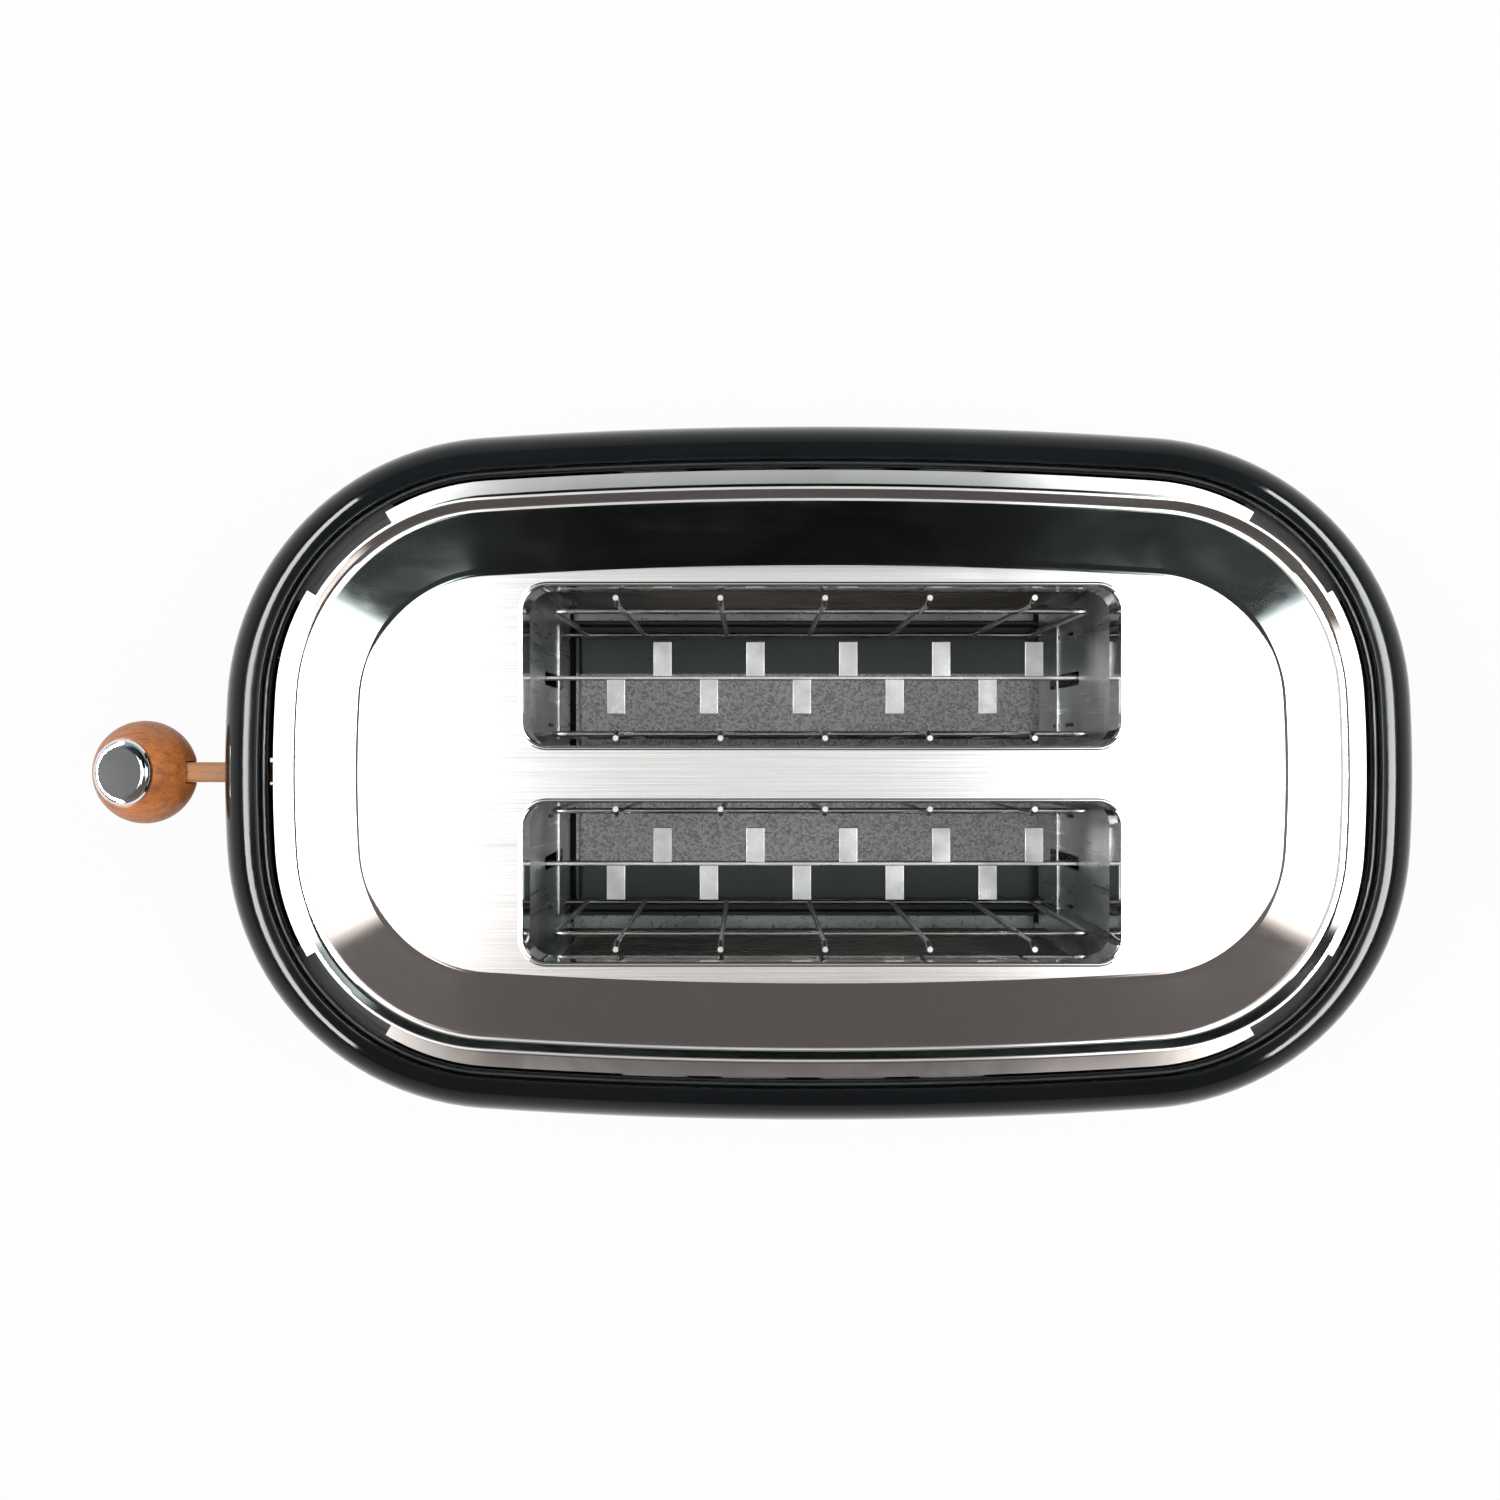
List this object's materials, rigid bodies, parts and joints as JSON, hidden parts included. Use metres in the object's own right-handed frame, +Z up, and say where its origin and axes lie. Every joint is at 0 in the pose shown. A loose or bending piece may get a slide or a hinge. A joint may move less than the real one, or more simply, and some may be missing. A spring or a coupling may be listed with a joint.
{
  "type": "toaster",
  "caption": "Two-slot pop-up toaster with an oval black shell, a raised steel crown, bread guards, a ball-ended lever, a browning dial, buttons and a crumb tray.",
  "frame": {"origin": "on the table under the middle of the box round the whole toaster, lever knob included", "axes": "+X from the lever end to the rear end, +Y across the two slots, +Z up"},
  "size_m": [0.3274, 0.1696, 0.19],
  "materials": {
    "black_enamel": "gloss",
    "dark_plastic": "matte",
    "polished_steel": "brushed plate and polished rim",
    "chamber_steel": "satin",
    "tray_steel": "galvanised",
    "wire_steel": "bright wire",
    "chrome": "mirror",
    "oiled_wood": "oiled",
    "pale_wood": "oiled",
    "rubber": "matte",
    "mica": "sheet mica",
    "ribbon": "heat tinted",
    "board_green": "lacquered board",
    "brass": "wound coil",
    "ceramic": "matt"
  },
  "bodies": {
    "body": {"outer_shell": "black_enamel", "control_panel": "black_enamel", "top_frame": "dark_plastic", "top_panel": "polished_steel", "base_plate": "dark_plastic", "foot_rear_right": "rubber", "foot_lever_right": "rubber", "foot_lever_left": "rubber", "foot_rear_left": "rubber", "base_screw_rear_right": "wire_steel", "base_screw_lever_right": "wire_steel", "base_screw_lever_left": "wire_steel", "base_screw_rear_left": "wire_steel", "end_plate_lever": "chamber_steel", "end_plate_rear": "chamber_steel", "reflector_front": "chamber_steel", "reflector_rear": "chamber_steel", "heater_board_front_outer": "mica", "heater_board_front_inner": "mica", "heater_board_rear_inner": "mica", "heater_board_rear_outer": "mica", "heater_winding_front_outer": "ribbon", "heater_winding_front_inner": "ribbon", "heater_winding_rear_inner": "ribbon", "heater_winding_rear_outer": "ribbon", "guide_rod": "polished_steel", "rod_bracket": "chamber_steel", "lift_spring": "wire_steel", "holding_magnet": "brass", "control_board": "board_green", "browning_pot": "dark_plastic", "switch_cancel": "dark_plastic", "switch_reheat": "dark_plastic", "switch_defrost": "dark_plastic", "cord_gland": "rubber", "terminal_block": "ceramic"},
    "carriage": {"bread_rack_front": "chamber_steel", "bread_rack_rear": "chamber_steel", "carriage_bridge": "chamber_steel", "guide_bush": "ceramic", "armature": "chamber_steel", "lever_arm": "pale_wood", "lever_knob": "oiled_wood", "knob_cap": "chrome"},
    "guard_front_outer": {"bread_guard_front_outer": "wire_steel"},
    "guard_front_inner": {"bread_guard_front_inner": "wire_steel"},
    "guard_rear_inner": {"bread_guard_rear_inner": "wire_steel"},
    "guard_rear_outer": {"bread_guard_rear_outer": "wire_steel"},
    "dial": {"browning_dial": "oiled_wood", "dial_cap": "chrome", "dial_shaft": "wire_steel"},
    "button_cancel": {"cancel_button": "polished_steel"},
    "button_reheat": {"reheat_button": "polished_steel"},
    "button_defrost": {"defrost_button": "polished_steel"},
    "tray": {"crumb_tray": "tray_steel", "tray_front": "dark_plastic"}
  },
  "joints": [
    {"name": "lever_slide", "type": "slide", "parent": "body", "child": "carriage", "axis": [0, 0, -1], "range_m": [0, 0.045], "stiffness_N_per_m": 60, "springref_m": -0.06, "deforming": ["lift_spring"]},
    {"name": "guard_front_outer_hinge", "type": "hinge", "parent": "body", "child": "guard_front_outer", "pos_m": [0.0189, -0.0404, 0.026], "axis": [-1, 0, 0], "range_deg": [0, 4]},
    {"name": "guard_front_inner_hinge", "type": "hinge", "parent": "body", "child": "guard_front_inner", "pos_m": [0.0189, -0.0096, 0.026], "axis": [1, 0, 0], "range_deg": [0, 4]},
    {"name": "guard_rear_inner_hinge", "type": "hinge", "parent": "body", "child": "guard_rear_inner", "pos_m": [0.0189, 0.0096, 0.026], "axis": [-1, 0, 0], "range_deg": [0, 4]},
    {"name": "guard_rear_outer_hinge", "type": "hinge", "parent": "body", "child": "guard_rear_outer", "pos_m": [0.0189, 0.0404, 0.026], "axis": [1, 0, 0], "range_deg": [0, 4]},
    {"name": "dial_turn", "type": "hinge", "parent": "body", "child": "dial", "pos_m": [-0.1225, 0, 0.04251], "axis": [-1, 0, 0], "range_deg": [-135, 135]},
    {"name": "cancel_press", "type": "slide", "parent": "body", "child": "button_cancel", "axis": [1, 0, 0], "range_m": [0, 0.002], "stiffness_N_per_m": 300, "springref_m": -0.002},
    {"name": "reheat_press", "type": "slide", "parent": "body", "child": "button_reheat", "axis": [1, 0, 0], "range_m": [0, 0.002], "stiffness_N_per_m": 300, "springref_m": -0.002},
    {"name": "defrost_press", "type": "slide", "parent": "body", "child": "button_defrost", "axis": [1, 0, 0], "range_m": [0, 0.002], "stiffness_N_per_m": 300, "springref_m": -0.002},
    {"name": "tray_slide", "type": "slide", "parent": "body", "child": "tray", "axis": [1, 0, 0], "range_m": [0, 0.2]}
  ],
  "couplings": [
    {"joint": "guard_front_outer_hinge", "follows": "lever_slide", "rad_per_m": 1.55},
    {"joint": "guard_front_inner_hinge", "follows": "lever_slide", "rad_per_m": 1.55},
    {"joint": "guard_rear_inner_hinge", "follows": "lever_slide", "rad_per_m": 1.55},
    {"joint": "guard_rear_outer_hinge", "follows": "lever_slide", "rad_per_m": 1.55}
  ]
}
